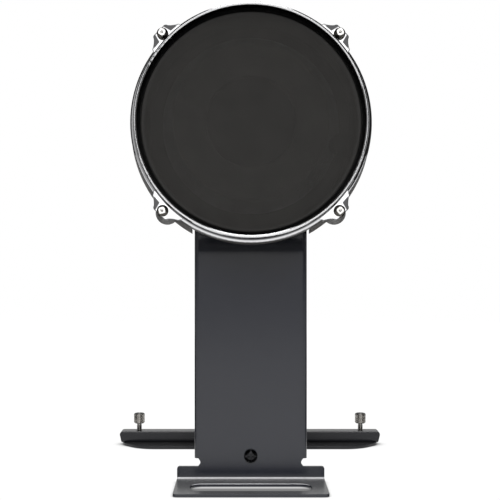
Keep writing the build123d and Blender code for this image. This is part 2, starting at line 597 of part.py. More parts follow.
parts["sensor_plate"] = sensor_plate()
parts["sensor_plate_screws"] = Compound(children=[
    one(pan_screw(*polar(a, POST_R_POS), PLATE_D, 3.6, 2.4, 1.68, 12.0, 1, 3.2, 0.8)) for a in (45, 135, 225, 315)])


def sensor_lead():
    z = AXIS_Z
    path = FilletPolyline(
        (18.6, yy(48.95), z), (28.0, yy(48.95), z), (28.0, yy(59.5), z), (66.0, yy(59.5), z + JACK_DZ), (JACK_X - 7.6, yy(59.5), z + JACK_DZ),
        radius=3.6)
    prof = Plane(origin=path @ 0, z_dir=path % 0) * Circle(LEAD_R * 0.8)
    return sweep(prof, path=path)


parts["sensor_lead"] = sensor_lead()

# ---------------------------------------------------------------- tower fixings
parts["tower_screws"] = Compound(children=[
    one(pan_screw(x, z, TOWER_D + T + 1.0, 4.8, 3.0, 2.5, 15.5, -1, 4.6, 1.1)) for x, z in TOWER_SCREWS])
parts["tower_washers"] = Compound(children=[
    one(rev_y([(2.8, TOWER_D + T), (5.6, TOWER_D + T), (5.6, TOWER_D + T + 1.0), (2.8, TOWER_D + T + 1.0)], x, z)) for x, z in TOWER_SCREWS])
parts["tower_inserts"] = Compound(children=[
    one(rev_y([(2.53, 65.0), (4.0, 65.0), (4.0, 76.9), (2.53, 76.9)], x, z)) for x, z in TOWER_SCREWS])

# ---------------------------------------------------------------- jack
jx, jz = JACK_X, AXIS_Z + JACK_DZ
parts["jack_body"] = rev_y([
    (0, 42.0), (6.6, 42.0), (7.5, 43.0), (7.5, BACK_D), (4.75, BACK_D), (4.75, 64.0), (JACK_BORE_R, 64.0), (JACK_BORE_R, 46.0), (0, 46.0)], jx, jz)
parts["jack_bushing"] = rev_y([
    (JACK_BORE_R, 64.0), (4.7, 64.0), (4.7, 78.4), (4.3, 78.8), (JACK_BORE_R, 78.8)], jx, jz)
parts["jack_washer"] = rev_y([
    (4.8, BACK_D + WALL), (7.4, BACK_D + WALL), (7.4, BACK_D + WALL + 0.8), (4.8, BACK_D + WALL + 0.8)], jx, jz)
jn = ext_y(Pos(jx, jz) * RegularPolygon(12.5 / 2 / math.cos(math.pi / 6), 6), BACK_D + WALL + 0.8, BACK_D + WALL + 3.6)
parts["jack_nut"] = jn - cyl_y(jx, jz, 4.72, BACK_D, BACK_D + WALL + 6)

# ---------------------------------------------------------------- export
os.makedirs("parts", exist_ok=True)
for name, shape in parts.items():
    export_step(one(shape), "parts/" + name + ".step")
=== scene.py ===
import math
import os

import bmesh
import bpy
import numpy as np
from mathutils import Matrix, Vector, noise


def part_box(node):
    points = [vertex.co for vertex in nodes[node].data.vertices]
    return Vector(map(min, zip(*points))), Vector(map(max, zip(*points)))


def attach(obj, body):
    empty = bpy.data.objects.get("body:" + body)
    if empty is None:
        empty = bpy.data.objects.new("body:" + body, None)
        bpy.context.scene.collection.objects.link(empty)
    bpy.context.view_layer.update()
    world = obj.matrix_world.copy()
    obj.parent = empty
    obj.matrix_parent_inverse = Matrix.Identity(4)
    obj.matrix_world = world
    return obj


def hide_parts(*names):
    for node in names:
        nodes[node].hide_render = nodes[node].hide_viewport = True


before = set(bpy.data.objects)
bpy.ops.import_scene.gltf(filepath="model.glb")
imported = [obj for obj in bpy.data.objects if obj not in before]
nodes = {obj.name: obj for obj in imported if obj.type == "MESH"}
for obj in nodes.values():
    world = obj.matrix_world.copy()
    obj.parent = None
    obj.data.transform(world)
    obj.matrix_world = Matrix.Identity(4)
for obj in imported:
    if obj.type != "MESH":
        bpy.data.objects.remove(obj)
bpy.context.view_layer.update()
scene = bpy.context.scene
scene.view_settings.view_transform = "Standard"
scene.view_settings.look = "None"
scene.view_settings.exposure = 0.0
scene.view_settings.gamma = 1.0

GLOSS_FRONT, GLOSS_LEFT, GLOSS_HIGH, GLOSS_REAR, GLOSS_ROOM = 2.0, 0.45, 7.0, 0.60, 0.015
GLOSS_SIDE = 0.30
CARD_NEAR, CARD_FAR, CARD_TONE = -0.60, -0.150, 0.01

# ------------------------------------------------------------------ camera
cam = bpy.data.cameras.new("camera")
cam.lens = 75.67
cam.sensor_width = 36.0
cam.shift_x = 0.0094
cam.shift_y = 0.0
cam.clip_start = 0.01
camera = bpy.data.objects.new("camera", cam)
camera.location = (-0.0053, -1.093, 0.2264)
camera.rotation_euler = (math.radians(90), 0, 0)
scene.collection.objects.link(camera)
scene.camera = camera

# ---------------------------------------------------------- node-tree tools


class Tree:
    """Small helper for building a node tree."""

    def __init__(self, tree):
        self.t = tree
        self.x = 0

    def node(self, kind, **values):
        n = self.t.nodes.new(kind)
        self.x += 160
        n.location = (self.x, 0)
        for key, value in values.items():
            if hasattr(n, key) and key not in n.inputs:
                setattr(n, key, value)
            else:
                n.inputs[key].default_value = value
        return n

    def link(self, a, b):
        self.t.links.new(a, b)

    def feed(self, value, socket):
        if isinstance(value, bpy.types.NodeSocket):
            self.link(value, socket)
        else:
            socket.default_value = value

    def math(self, op, a, b=0.0, c=None, clamp=False):
        n = self.t.nodes.new("ShaderNodeMath")
        n.operation = op
        n.use_clamp = clamp
        self.feed(a, n.inputs[0])
        self.feed(b, n.inputs[1])
        if c is not None:
            self.feed(c, n.inputs[2])
        return n.outputs[0]

    def ramp(self, value, lo, hi, to_lo=0.0, to_hi=1.0, smooth=True):
        n = self.t.nodes.new("ShaderNodeMapRange")
        n.interpolation_type = "SMOOTHSTEP" if smooth else "LINEAR"
        self.feed(value, n.inputs["Value"])
        self.feed(lo, n.inputs["From Min"])
        self.feed(hi, n.inputs["From Max"])
        self.feed(to_lo, n.inputs["To Min"])
        self.feed(to_hi, n.inputs["To Max"])
        return n.outputs["Result"]

    def mix(self, factor, a, b):
        n = self.t.nodes.new("ShaderNodeMix")
        n.data_type = "RGBA"
        self.feed(factor, n.inputs["Factor"])
        for value, socket in ((a, n.inputs["A"]), (b, n.inputs["B"])):
            if isinstance(value, bpy.types.NodeSocket):
                self.link(value, socket)
            else:
                socket.default_value = (*value, 1.0) if len(value) == 3 else value
        return n.outputs["Result"]

    def noise(self, coords, scale, detail=2.0, rough=0.5, distortion=0.0):
        n = self.t.nodes.new("ShaderNodeTexNoise")
        n.inputs["Scale"].default_value = scale
        n.inputs["Detail"].default_value = detail
        n.inputs["Roughness"].default_value = rough
        n.inputs["Distortion"].default_value = distortion
        self.link(coords, n.inputs["Vector"])
        return n.outputs["Fac"]

    def voronoi(self, coords, scale, feature="F1", out="Distance"):
        n = self.t.nodes.new("ShaderNodeTexVoronoi")
        n.feature = feature
        n.inputs["Scale"].default_value = scale
        self.link(coords, n.inputs["Vector"])
        return n.outputs[out]

    def bump(self, height, distance, strength=1.0, normal=None):
        n = self.t.nodes.new("ShaderNodeBump")
        n.inputs["Distance"].default_value = distance
        n.inputs["Strength"].default_value = strength
        self.feed(height, n.inputs["Height"])
        if normal is not None:
            self.link(normal, n.inputs["Normal"])
        return n.outputs["Normal"]


def shader(name, **values):
    """A Principled material: (material, tree, principled node, object coordinates)."""
    m = bpy.data.materials.new(name)
    m.use_nodes = True
    m.node_tree.nodes.clear()
    t = Tree(m.node_tree)
    p = t.node("ShaderNodeBsdfPrincipled")
    for key, value in values.items():
        key = key.replace("_", " ")
        if key == "Base Color" and len(value) == 3:
            value = (*value, 1.0)
        p.inputs[key].default_value = value
    out = t.node("ShaderNodeOutputMaterial")
    t.link(p.outputs[0], out.inputs[0])
    coords = t.node("ShaderNodeTexCoord").outputs["Object"]
    return m, t, p, coords, out


def edge_wear(t, radius=0.0006):
    """0 on flat faces, rising on sharp outside edges."""
    bevel = t.t.nodes.new("ShaderNodeBevel")
    bevel.samples = 6
    bevel.inputs["Radius"].default_value = radius
    geo = t.t.nodes.new("ShaderNodeNewGeometry")
    dot = t.t.nodes.new("ShaderNodeVectorMath")
    dot.operation = "DOT_PRODUCT"
    t.link(bevel.outputs["Normal"], dot.inputs[0])
    t.link(geo.outputs["Normal"], dot.inputs[1])
    return t.ramp(dot.outputs["Value"], 0.995, 0.90, 0.0, 1.0), bevel.outputs["Normal"]


# ---------------------------------------------------------------- materials
def powder_coat(name, dark, light, rough, gloss, top_light_tone, bend):
    m, t, p, co, out = shader(name, Base_Color=dark, Roughness=rough, IOR=1.5, Specular_IOR_Level=gloss)
    grain = t.noise(co, 2600.0, 3.0, 0.6)
    peel = t.noise(co, 700.0, 2.0, 0.5)
    cloud = t.noise(co, 9.0, 3.0, 0.5)
    tone = t.math("ADD", t.math("MULTIPLY", t.ramp(grain, 0.3, 0.7), 0.5), t.math("MULTIPLY", t.ramp(cloud, 0.3, 0.7), 0.5))
    wear, soft = edge_wear(t, 0.0005)
    base = t.mix(tone, dark, light)
    base = t.mix(t.math("MULTIPLY", wear, 0.35), base, tuple(c * 2.2 for c in light))
    # painted light: what faces up is coloured lighter, as if lit from above, mottled by the cloud noise
    up = t.node("ShaderNodeSeparateXYZ")
    t.link(t.node("ShaderNodeNewGeometry").outputs["Normal"], up.inputs[0])
    painted_top_light = t.math("MULTIPLY", t.ramp(up.outputs["Z"], 0.55, 0.97), t.ramp(cloud, 0.2, 0.8, 0.85, 1.0))
    base = t.mix(painted_top_light, base, top_light_tone)
    # painted highlight: where the surface turns from facing front to facing up, the bend is coloured lighter, as if it
    # caught the light above it
    line = t.math("MULTIPLY", t.math("MULTIPLY", t.ramp(up.outputs["Z"], 0.45, 0.60), t.ramp(up.outputs["Z"], 0.90, 0.78)), t.ramp(up.outputs["Y"], -0.25, -0.45))
    base = t.mix(line, base, bend)
    t.link(base, p.inputs["Base Color"])
    t.link(t.ramp(grain, 0.25, 0.75, rough - 0.04, rough + 0.05), p.inputs["Roughness"])
    h = t.math("ADD", t.math("MULTIPLY", grain, 0.55), t.math("MULTIPLY", peel, 0.7))
    t.link(t.bump(h, 0.00006, 0.28, soft), p.inputs["Normal"])
    return m


def chrome(name, tint=(0.74, 0.74, 0.75), rough=0.02, radius=0.00020, smudge=0.04):
    m, t, p, co, out = shader(name, Base_Color=tint, Metallic=1.0, Roughness=rough)
    cloud = t.noise(co, 90.0, 4.0, 0.6)
    fine = t.noise(co, 1500.0, 2.0, 0.5)
    t.link(t.ramp(cloud, 0.35, 0.75, rough, rough + smudge), p.inputs["Roughness"])
    t.link(t.mix(t.ramp(cloud, 0.3, 0.8), tint, tuple(c * 0.93 for c in tint)), p.inputs["Base Color"])
    bevel = t.t.nodes.new("ShaderNodeBevel")
    bevel.samples = 6
    bevel.inputs["Radius"].default_value = radius
    t.link(t.bump(fine, 0.000002, 0.4, bevel.outputs["Normal"]), p.inputs["Normal"])
    return m


def hoop_plate(name):
    """Chrome with a dark line painted as shade in the narrow corner between wall and flange, and dark reflections
    painted on the inner wall, the rolled edge, the ear outlines and the ear wings.
    """
    m = chrome(name, radius=0.0009)
    t = Tree(m.node_tree)
    p = next(n for n in m.node_tree.nodes if n.type == "BSDF_PRINCIPLED")
    tint = p.inputs["Base Color"].links[0].from_socket
    sep = t.node("ShaderNodeSeparateXYZ")
    t.link(t.node("ShaderNodeTexCoord").outputs["Object"], sep.inputs[0])
    rx = t.math("SUBTRACT", sep.outputs["X"], HEAD_X)
    rz = t.math("SUBTRACT", sep.outputs["Z"], HEAD_Z)
    r = t.math("SQRT", t.math("ADD", t.math("MULTIPLY", rx, rx), t.math("MULTIPLY", rz, rz)))
    deep = t.math("SUBTRACT", sep.outputs["Y"], HOOP_Y)
    # painted shade in the corner between wall and flange, and a painted dark reflection on the inner wall below the
    # bead
    corner = t.math("MULTIPLY", t.ramp(deep, 0.0155, 0.0180), t.ramp(r, 0.1090, 0.1081))
    wall = t.math("MULTIPLY", t.ramp(deep, 0.0016, 0.0030), t.ramp(r, 0.1095, 0.1088))
    painted_dark = t.math("MAXIMUM", corner, t.math("MULTIPLY", wall, 0.75))
    # painted reflection: the rolled outer edge of the flange is darkened
    on_ear = t.math("MULTIPLY", t.ramp(r, 0.1118, 0.1123), 0.00023)
    roll = t.math("ADD", deep, on_ear)
    rolled = t.math("MULTIPLY", t.math("MULTIPLY", t.ramp(roll, 0.02070, 0.02088), t.ramp(deep, 0.0240, 0.0225)), t.ramp(r, 0.1094, 0.1100))
    painted_dark = t.math("MAXIMUM", painted_dark, t.math("MULTIPLY", rolled, 0.8))
    # painted reflection: a dark outline along the sharp outer edges of the flange and ears
    core = t.node("ShaderNodeAmbientOcclusion")
    core.inside = True
    core.samples = 12
    core.inputs["Distance"].default_value = 0.0013
    rim = t.ramp(core.outputs["AO"], 0.97, 0.80, 0.0, 1.0)
    rim = t.math("MULTIPLY", rim, t.math("MULTIPLY", t.ramp(r, 0.1100, 0.1110), t.ramp(deep, 0.0200, 0.0203)))
    painted_dark = t.math("MAXIMUM", painted_dark, t.math("MULTIPLY", rim, 0.85))
    # painted reflection: the wings of the four ears, which lie on the diagonals, are tinted as if they mirrored the
    # dark room, on the upper ears and on the outer side of the lower ears
    ax, az = t.math("ABSOLUTE", rx), t.math("ABSOLUTE", rz)
    along = t.math("MULTIPLY", t.math("ADD", ax, az), 0.70711)
    across = t.math("MULTIPLY", t.math("ABSOLUTE", t.math("SUBTRACT", ax, az)), 0.70711)
    crease = t.math("ADD", across, t.math("MULTIPLY", t.math("SUBTRACT", along, 0.1115), 0.27))
    wing = t.math("MULTIPLY", t.ramp(crease, 0.0068, 0.0080), t.ramp(across, 0.0165, 0.0135))
    wing = t.math("MULTIPLY", wing, t.math("MULTIPLY", t.ramp(r, 0.1119, 0.1127), t.ramp(along, 0.1108, 0.1116)))
    upper = t.math("MAXIMUM", t.ramp(rz, -0.002, 0.002), t.ramp(t.math("SUBTRACT", ax, az), -0.001, 0.001))
    painted_dark = t.math("MAXIMUM", painted_dark, t.math("MULTIPLY", t.math("MULTIPLY", wing, upper), 0.965))
    # where these masks are set, the chrome is tinted near-black: painted shade and painted reflection
    t.link(t.mix(painted_dark, tint, (0.035, 0.035, 0.036)), p.inputs["Base Color"])
    return m


def knob_metal(name):
    """Knurled nickel, its top painted dark as a painted reflection of the dark room above."""
    m = metal(name, (0.52, 0.50, 0.47), 0.24, 0.3, spots=0.1)
    t = Tree(m.node_tree)
    p = next(n for n in m.node_tree.nodes if n.type == "BSDF_PRINCIPLED")
    tint = p.inputs["Base Color"].links[0].from_socket
    up = t.node("ShaderNodeSeparateXYZ")
    t.link(t.node("ShaderNodeNewGeometry").outputs["Normal"], up.inputs[0])
    # painted reflection: what faces up is tinted dark grey
    t.link(t.mix(t.ramp(up.outputs["Z"], 0.15, 0.55), tint, (0.055, 0.054, 0.052)), p.inputs["Base Color"])
    return m


def rod_plate(name):
    """Bright square head over a collar that is tinted dark as a painted reflection."""
    m = chrome(name, (0.74, 0.73, 0.71), 0.08, 0.0003)
    t = Tree(m.node_tree)
    p = next(n for n in m.node_tree.nodes if n.type == "BSDF_PRINCIPLED")
    tint = p.inputs["Base Color"].links[0].from_socket
    sep = t.node("ShaderNodeSeparateXYZ")
    t.link(t.node("ShaderNodeTexCoord").outputs["Object"], sep.inputs[0])
    deep = t.math("SUBTRACT", sep.outputs["Y"], HOOP_Y)
    # painted reflection: the collar behind the head is tinted dark
    t.link(t.mix(t.ramp(deep, 0.0136, 0.0152), tint, (0.085, 0.080, 0.072)), p.inputs["Base Color"])
    return m


def metal(name, tint, rough, grain=0.5, stretch=(1, 1, 1), scale=900.0, spots=0.0):
    m, t, p, co, out = shader(name, Base_Color=tint, Metallic=1.0, Roughness=rough)
    mp = t.node("ShaderNodeMapping")
    mp.inputs["Scale"].default_value = stretch
    t.link(co, mp.inputs["Vector"])
    fine = t.noise(mp.outputs[0], scale, 3.0, 0.6)
    cloud = t.noise(co, 60.0, 3.0, 0.6)
    t.link(t.mix(t.ramp(cloud, 0.3, 0.7), tuple(c * (0.86 - spots) for c in tint), tint), p.inputs["Base Color"])
    t.link(t.ramp(fine, 0.3, 0.7, rough - 0.06, rough + 0.10), p.inputs["Roughness"])
    bevel = t.t.nodes.new("ShaderNodeBevel")
    bevel.samples = 4
    bevel.inputs["Radius"].default_value = 0.0002
    t.link(t.bump(fine, 0.00002, grain, bevel.outputs["Normal"]), p.inputs["Normal"])
    return m


def plastic(name, dark, light, rough, texture=0.00004, scale=1500.0):
    m, t, p, co, out = shader(name, Base_Color=dark, Roughness=rough, IOR=1.48)
    cells = t.voronoi(co, scale)
    cloud = t.noise(co, 25.0, 3.0, 0.55)
    fine = t.noise(co, scale * 1.7, 2.0, 0.5)
    wear, soft = edge_wear(t, 0.0004)
    base = t.mix(t.ramp(cloud, 0.3, 0.7), dark, light)
    base = t.mix(t.math("MULTIPLY", wear, 0.25), base, tuple(min(1.0, c * 2.5) for c in light))
    t.link(base, p.inputs["Base Color"])
    t.link(t.ramp(fine, 0.3, 0.7, rough - 0.06, rough + 0.06), p.inputs["Roughness"])
    t.link(t.bump(t.math("ADD", cells, t.math("MULTIPLY", fine, 0.4)), texture, 0.6, soft), p.inputs["Normal"])
    return m


def foam(name, dark, light, scale=900.0, depth=0.0006):
    m, t, p, co, out = shader(name, Base_Color=dark, Roughness=0.95, IOR=1.3)
    cell = t.voronoi(co, scale)
    cell2 = t.voronoi(co, scale * 2.1)
    cloud = t.noise(co, 60.0, 4.0, 0.6)
    pores = t.math("ADD", t.math("MULTIPLY", t.ramp(cell, 0.1, 0.65), 0.7), t.math("MULTIPLY", t.ramp(cell2, 0.1, 0.7), 0.3))
    # painted shade: the pore hollows are darker; the cloud noise adds random tone
    shade = t.math("MULTIPLY", pores, t.ramp(cloud, 0.2, 0.8, 0.8, 1.0))
    t.link(t.mix(shade, dark, light), p.inputs["Base Color"])
    t.link(t.bump(pores, depth, 0.7), p.inputs["Normal"])
    p.inputs["Specular IOR Level"].default_value = 0.15
    return m


MAT = {
    # the last two colours of each coat are its painted top light and its painted bend highlight
    "powder_coat": powder_coat("powder_coat", (0.0050, 0.0056, 0.0084), (0.0064, 0.0072, 0.0106), 0.215, 0.66, (0.052, 0.053, 0.055), (0.40, 0.40, 0.41)),
    "powder_coat_base": powder_coat("powder_coat_base", (0.0050, 0.0052, 0.0062), (0.0056, 0.0058, 0.0068), 0.24, 0.34, (0.020, 0.020, 0.021), (0.03, 0.03, 0.031)),
    "black_screw": metal("black_screw", (0.034, 0.034, 0.036), 0.20, 0.25),
    "zinc": metal("zinc", (0.62, 0.63, 0.62), 0.30, 0.4, spots=0.08),
    "spur_steel": metal("spur_steel", (0.42, 0.41, 0.39), 0.22, 0.3),
    "knurled_nickel": knob_metal("knurled_nickel"),
    "black_abs": plastic("black_abs", (0.050, 0.047, 0.043), (0.060, 0.056, 0.051), 0.55, 0.00008, 1300.0),
    "brass": metal("brass", (0.78, 0.57, 0.25), 0.26, 0.3),
    "nylon": plastic("nylon", (0.16, 0.145, 0.12), (0.20, 0.18, 0.15), 0.5, 0.00002),
    "hoop_alloy": metal("hoop_alloy", (0.010, 0.010, 0.010), 0.45, 0.5),
    "ceramic": plastic("ceramic", (0.70, 0.67, 0.58), (0.78, 0.75, 0.66), 0.7, 0.00002),
    "sensor_steel": metal("sensor_steel", (0.50, 0.51, 0.52), 0.36, 0.5, spots=0.1),
    "lead_pvc": plastic("lead_pvc", (0.030, 0.030, 0.031), (0.040, 0.040, 0.041), 0.5, 0.00002),
    "jack_plastic": plastic("jack_plastic", (0.016, 0.016, 0.017), (0.022, 0.022, 0.023), 0.25, 0.00001),
    "jack_metal": metal("jack_metal", (0.66, 0.65, 0.62), 0.22, 0.3),
    "grey_foam": foam("grey_foam", (0.16, 0.15, 0.14), (0.42, 0.40, 0.37)),
    "black_foam": foam("black_foam", (0.008, 0.008, 0.008), (0.030, 0.029, 0.028), 1600.0, 0.0002),
}


def mesh_cloth():
    """Fine plain-woven polyester mesh: two sets of threads that pass over and under, with small openings."""
    m, t, p, co, out = shader("woven_mesh", Roughness=0.62, IOR=1.5)
    sep = t.node("ShaderNodeSeparateXYZ")
    t.link(co, sep.inputs[0])
    wob = t.noise(co, 30.0, 2.0, 0.5)
    pitch = 0.00095
    w = 2 * math.pi / pitch
    u = t.math("ADD", t.math("MULTIPLY", sep.outputs["X"], w), t.math("MULTIPLY", wob, 1.2))
    v = t.math("ADD", t.math("MULTIPLY", sep.outputs["Z"], w), t.math("MULTIPLY", wob, 0.9))
    cu = t.math("COSINE", u)
    cv = t.math("COSINE", v)
    # height of each thread across its width, and its rise and fall along its length
    up = t.math("COSINE", t.math("MULTIPLY", u, 0.5))
    vp = t.math("COSINE", t.math("MULTIPLY", v, 0.5))
    wave = t.math("MULTIPLY", up, vp)
    warp = t.math("ADD", t.math("MULTIPLY", cu, 0.6), t.math("MULTIPLY", wave, 0.4))
    weft = t.math("SUBTRACT", t.math("MULTIPLY", cv, 0.6), t.math("MULTIPLY", wave, 0.4))
    height = t.math("MAXIMUM", warp, weft)
    hole = t.ramp(height, -0.42, -0.22, 0.0, 1.0)
    over = t.ramp(t.math("SUBTRACT", warp, weft), -0.2, 0.2)
    cloud = t.noise(co, 45.0, 3.0, 0.5)
    c_warp = t.mix(t.ramp(cloud, 0.3, 0.7), (0.0110, 0.0105, 0.0097), (0.0130, 0.0124, 0.0114))
    c_weft = t.mix(t.ramp(cloud, 0.3, 0.7), (0.0082, 0.0078, 0.0072), (0.0100, 0.0095, 0.0088))
    base = t.mix(over, c_weft, c_warp)
    # painted shade: the low parts of the weave, between the threads, are darker
    base = t.mix(t.ramp(height, -0.3, 0.5), (0.009, 0.0085, 0.008), base)
    # painted highlight where the mesh is stretched over the bearing edge, and painted shade outside it
    rx = t.math("SUBTRACT", sep.outputs["X"], HEAD_X)
    rz = t.math("SUBTRACT", sep.outputs["Z"], HEAD_Z - 0.0007)
    r = t.math("SQRT", t.math("ADD", t.math("MULTIPLY", rx, rx), t.math("MULTIPLY", rz, rz)))
    # painted highlight: a lighter ring on the mesh where it runs over the bearing edge
    painted_bearing_highlight = t.math("MULTIPLY", t.ramp(r, 0.0968, 0.0990), t.ramp(r, 0.1010, 0.1003))
    base = t.mix(t.math("MULTIPLY", painted_bearing_highlight, 0.5), base, (0.020, 0.0195, 0.019))
    # painted shade: outside the bearing edge the mesh is made opaque, near-black and without specular, standing in for
    # the shade in the gap inside the hoop
    painted_gap_shade = t.ramp(r, 0.1004, 0.1016)
    base = t.mix(painted_gap_shade, base, (0.0012, 0.0012, 0.0012))
    t.link(t.ramp(painted_gap_shade, 0.0, 1.0, 0.35, 0.0), p.inputs["Specular IOR Level"])
    hole = t.math("MAXIMUM", hole, painted_gap_shade)
    t.link(base, p.inputs["Base Color"])
    t.link(t.bump(height, 0.00016, 0.55), p.inputs["Normal"])
    p.inputs["Sheen Weight"].default_value = 0.06
    p.inputs["Sheen Roughness"].default_value = 0.4
    p.inputs["Sheen Tint"].default_value = (0.8, 0.8, 0.8, 1)
    clear = t.node("ShaderNodeBsdfTransparent")
    mix = t.node("ShaderNodeMixShader")
    t.link(hole, mix.inputs[0])
    t.link(clear.outputs[0], mix.inputs[1])
    t.link(p.outputs[0], mix.inputs[2])
    t.link(mix.outputs[0], out.inputs[0])
    return m


HEAD_LO, HEAD_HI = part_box("mesh_head")
HEAD_X = (HEAD_LO.x + HEAD_HI.x) / 2
HEAD_Z = (HEAD_LO.z + HEAD_HI.z) / 2
HOOP_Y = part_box("rim_hoop")[0].y
MAT["hoop_chrome"] = hoop_plate("hoop_chrome")
MAT["rod_chrome"] = rod_plate("rod_chrome")
MAT["woven_mesh"] = mesh_cloth()

SLOTS = {
    "tower_plate": "powder_coat", "rear_base": "powder_coat_base", "rear_channel": "powder_coat_base",
    "base_screw": "black_screw", "base_washer": "zinc", "base_nut": "zinc", "spur_weld_nuts": "zinc",
    "spur_stud_left": "spur_steel", "spur_stud_right": "spur_steel",
    "spur_knob_left": "knurled_nickel", "spur_knob_right": "knurled_nickel",
    "drum_shell": "black_abs", "lug_inserts": "brass",
    "tension_rod_upper_right": "rod_chrome", "tension_rod_upper_left": "rod_chrome",
    "tension_rod_lower_left": "rod_chrome", "tension_rod_lower_right": "rod_chrome",
    "rod_washers": "zinc", "rod_nylon_washers": "nylon", "rim_hoop": "hoop_chrome",
    "flesh_hoop": "hoop_alloy", "mesh_head": "woven_mesh", "foam_ring": "grey_foam", "foam_cone": "black_foam",
    "piezo_ceramic": "ceramic", "piezo_disc": "brass", "piezo_tape": "black_foam",
    "sensor_plate": "sensor_steel", "sensor_plate_screws": "zinc", "sensor_lead": "lead_pvc",
    "tower_screws": "black_screw", "tower_washers": "zinc", "tower_inserts": "brass",
    "jack_body": "jack_plastic", "jack_bushing": "jack_metal", "jack_washer": "jack_metal", "jack_nut": "jack_metal",
}
for name, o in nodes.items():
    m = MAT[SLOTS[name]]
    if not o.material_slots:
        o.data.materials.append(m)
    for s in o.material_slots:
        s.material = m

# --------------------------------------------------------------- new pieces
lo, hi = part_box("mesh_head")
AXIS_X = (lo.x + hi.x) / 2
AXIS_Z = (lo.z + hi.z) / 2


def new_object(name, verts, faces, material, smooth=True):
    mesh = bpy.data.meshes.new(name)
    mesh.from_pydata([tuple(v) for v in verts], [], faces)
    mesh.validate()
    mesh.update()
    o = bpy.data.objects.new(name, mesh)
    scene.collection.objects.link(o)
    mesh.materials.append(material)
    for poly in mesh.polygons:
        poly.use_smooth = smooth
    return o


def spun(name, outline, material, steps=192, closed=False):
    """Spins an (r, y) outline about the drum axis. A point with r = 0 becomes one vertex."""
    verts, rings = [], []
    for r, y in outline:
        if r < 1e-7:
            rings.append([len(verts)])
            verts.append((AXIS_X, y, AXIS_Z))
        else:
            rings.append(list(range(len(verts), len(verts) + steps)))
            for k in range(steps):
                a = 2 * math.pi * k / steps
                verts.append((AXIS_X + r * math.cos(a), y, AXIS_Z + r * math.sin(a)))
    faces = []
    pairs = list(zip(rings, rings[1:])) + ([(rings[-1], rings[0])] if closed else [])
    for a, b in pairs:
        for k in range(steps):
            j = (k + 1) % steps
            if len(a) == 1:
                faces.append((a[0], b[j], b[k]))
            elif len(b) == 1:
                faces.append((a[k], a[j], b[0]))
            else:
                faces.append((a[k], a[j], b[j], b[k]))
    return new_object(name, verts, faces, material)


# the stretched mesh, folded back over the bearing edge and down inside the hoop
def head_outline():
    y0 = lo.y + 0.00022
    r_out = hi.x - AXIS_X - 0.00022
    bend = 0.0020
    pts = [(0.0, y0)]
    n = 34
    for i in range(1, n + 1):
        r = (r_out - bend) * i / n
        # the mesh is drawn a touch in between the foam and the bearing edge
        dip = 0.00022 * math.sin(math.pi * min(1.0, max(0.0, (r - 0.074) / (r_out - bend - 0.074)))) if r > 0.074 else 0.0
        pts.append((r, y0 + dip))
    for k in range(1, 7):
        a = math.radians(90 * k / 6)
        pts.append((r_out - bend + bend * math.sin(a), y0 + bend - bend * math.cos(a)))
    y1 = hi.y - 0.0002
    for k in range(1, 7):
        pts.append((r_out, y0 + bend + (y1 - y0 - bend) * k / 6))
    return pts


outline = head_outline()
mesh_head = spun("mesh_head_cloth", outline, MAT["woven_mesh"], 256)
thick = mesh_head.modifiers.new("thickness", "SOLIDIFY")
thick.thickness = 0.00035
thick.offset = 0.0
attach(mesh_head, "pad_tower")
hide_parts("mesh_head")


def soft_block(name, outline, material, node, steps=160, grain=0.00018, scale=420.0):
    """A cut foam piece: its outline is rounded, and its skin is uneven as cut foam is."""
    o = spun(name, outline, material, steps, closed=outline[0][0] > 1e-7)
    bm = bmesh.new()
    bm.from_mesh(o.data)
    bmesh.ops.recalc_face_normals(bm, faces=bm.faces)
    bm.to_mesh(o.data)
    bm.free()
    me = o.data
    co = np.array([v.co for v in me.vertices])
    no = np.array([v.normal for v in me.vertices])
    shift = np.array([noise.noise(Vector(c) * scale) + 0.5 * noise.noise(Vector(c) * scale * 2.3) for c in co])
    co -= no * (grain * (shift + 1.0))[:, None]
    me.vertices.foreach_set("co", co.ravel().astype(np.float32))
    me.update()
    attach(o, "pad_tower")
    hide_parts(node)
    return o


def rounded(points, radius, n=4, seg=0.0025):
    """Rounds the corners of an open or closed (r, y) outline and puts points along its sides."""
    out = []
    count = len(points)
    for i, p in enumerate(points):
        a, b, c = Vector(points[i - 1]), Vector(p), Vector(points[(i + 1) % count])
        u, v = (a - b), (c - b)
        rad = min(radius, u.length * 0.45, v.length * 0.45)
        s, e = b + u.normalized() * rad, b + v.normalized() * rad
        for k in range(n + 1):
            t = k / n
            q = s * (1 - t) ** 2 + b * 2 * t * (1 - t) + e * t * t
            out.append((q.x, q.y))
        d = (c - v.normalized() * min(radius, v.length * 0.45)) if False else c
        end = Vector(points[(i + 1) % count])
        far = end + (b - end).normalized() * min(radius, v.length * 0.45)
        steps = max(1, int((far - e).length / seg))
        for k in range(1, steps):
            q = e + (far - e) * (k / steps)
            out.append((q.x, q.y))
    return out


blo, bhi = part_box("foam_ring")
r_o = bhi.x - AXIS_X
ring_pts = [(0.042, blo.y), (r_o, blo.y), (r_o, bhi.y), (0.042, bhi.y)]
soft_block("foam_ring_block", rounded(ring_pts, 0.0022), MAT["grey_foam"], "foam_ring")

